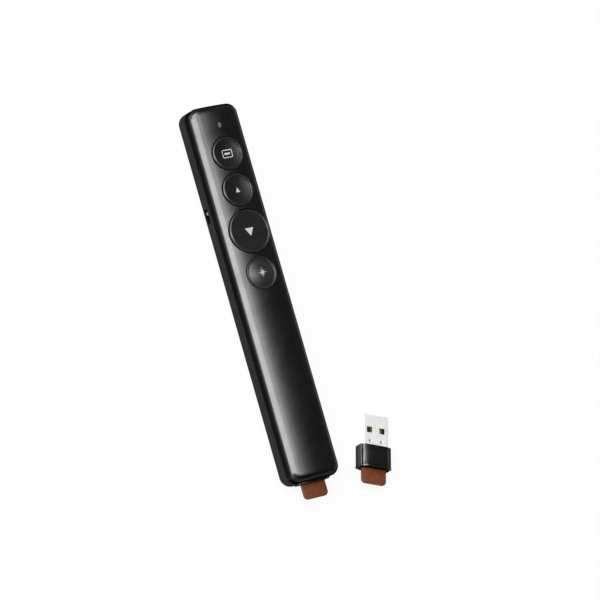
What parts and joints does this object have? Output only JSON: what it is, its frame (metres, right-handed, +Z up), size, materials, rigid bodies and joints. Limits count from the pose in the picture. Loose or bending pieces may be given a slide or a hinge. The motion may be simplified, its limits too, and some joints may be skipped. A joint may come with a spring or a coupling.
{
  "type": "wireless presentation clicker",
  "caption": "Slim wireless presentation clicker with round push keys, a side slide switch, a battery door and USB-A receivers with leather pull tabs, docked and loose.",
  "frame": {"origin": "on the flat back, at the middle of the body's length and width", "axes": "+X across the body to the right when the keys face the viewer, +Y along the body towards the laser end, +Z up through the keys"},
  "size_m": [0.0566, 0.1665, 0.0153],
  "materials": {
    "cover_plastic": "satin, soft touch",
    "shell_plastic": "matte, fine grain",
    "key_plastic": "satin",
    "indicator_plastic": "clear, frosted",
    "housing_plastic": "satin",
    "tongue_plastic": "matte",
    "leather": "smooth, fine grain",
    "plug_steel": "bright nickel",
    "contact_gold": "gold plated",
    "board_green": "solder mask",
    "chip_black": "matte",
    "switch_black": "matte",
    "plunger_white": "matte",
    "bright_metal": "nickel plated",
    "screw_steel": "zinc plated",
    "ceramic_tan": "matte",
    "led_white": "clear",
    "laser_brass": "turned",
    "bezel_black": "gloss",
    "lens_glass": "clear",
    "cell_jacket": "printed film, blank",
    "cell_steel": "nickel plated"
  },
  "bodies": {
    "casing": {"front_cover": "cover_plastic", "back_shell": "shell_plastic", "main_board": "board_green", "switch_bodies": "switch_black", "radio_chip": "chip_black", "crystal": "bright_metal", "status_led": "led_white", "board_passives": "ceramic_tan", "board_screws": "screw_steel", "case_screws": "screw_steel", "light_pipe": "indicator_plastic", "laser_barrel": "laser_brass", "laser_lens": "lens_glass", "laser_diode": "bright_metal", "laser_bezel": "bezel_black", "power_switch_body": "switch_black", "battery_can": "cell_jacket", "battery_cap": "cell_steel", "contact_spring": "bright_metal", "negative_contact": "bright_metal", "positive_contact": "bright_metal"},
    "screen_key": {"screen_keycap": "key_plastic", "screen_switch_plunger": "plunger_white"},
    "page_up_key": {"page_up_keycap": "key_plastic", "page_up_switch_plunger": "plunger_white"},
    "page_down_key": {"page_down_keycap": "key_plastic", "page_down_switch_plunger": "plunger_white"},
    "laser_key": {"laser_keycap": "key_plastic", "laser_switch_plunger": "plunger_white"},
    "power_slider": {"power_knob": "key_plastic"},
    "battery_door": {"battery_door": "shell_plastic"},
    "docked_receiver": {"docked_housing": "housing_plastic", "docked_pull_tab": "leather", "docked_plug_shell": "plug_steel", "docked_plug_tongue": "tongue_plastic", "docked_plug_contacts": "contact_gold", "docked_circuit_board": "board_green", "docked_radio_chip": "chip_black"},
    "loose_receiver": {"loose_housing": "housing_plastic", "loose_pull_tab": "leather", "loose_plug_shell": "plug_steel", "loose_plug_tongue": "tongue_plastic", "loose_plug_contacts": "contact_gold", "loose_circuit_board": "board_green", "loose_radio_chip": "chip_black"}
  },
  "joints": [
    {"name": "screen_key_press", "type": "slide", "parent": "casing", "child": "screen_key", "axis": [0, 0, -1], "range_m": [0, 0.0003], "stiffness_N_per_m": 4000},
    {"name": "page_up_key_press", "type": "slide", "parent": "casing", "child": "page_up_key", "axis": [0, 0, -1], "range_m": [0, 0.0003], "stiffness_N_per_m": 4000},
    {"name": "page_down_key_press", "type": "slide", "parent": "casing", "child": "page_down_key", "axis": [0, 0, -1], "range_m": [0, 0.0003], "stiffness_N_per_m": 4000},
    {"name": "laser_key_press", "type": "slide", "parent": "casing", "child": "laser_key", "axis": [0, 0, -1], "range_m": [0, 0.0003], "stiffness_N_per_m": 4000},
    {"name": "power_slide", "type": "slide", "parent": "casing", "child": "power_slider", "axis": [0, -1, 0], "range_m": [0, 0.002]},
    {"name": "battery_door_slide", "type": "slide", "parent": "casing", "child": "battery_door", "axis": [0, -1, 0], "range_m": [0, 0.079]},
    {"name": "receiver_pull", "type": "slide", "parent": "casing", "child": "docked_receiver", "axis": [0, -1, 0], "range_m": [0, 0.024]},
    {"name": "loose_receiver_lift", "type": "slide", "parent": "casing", "child": "loose_receiver", "axis": [0, 0, 1], "range_m": [0, 0.03]}
  ]
}
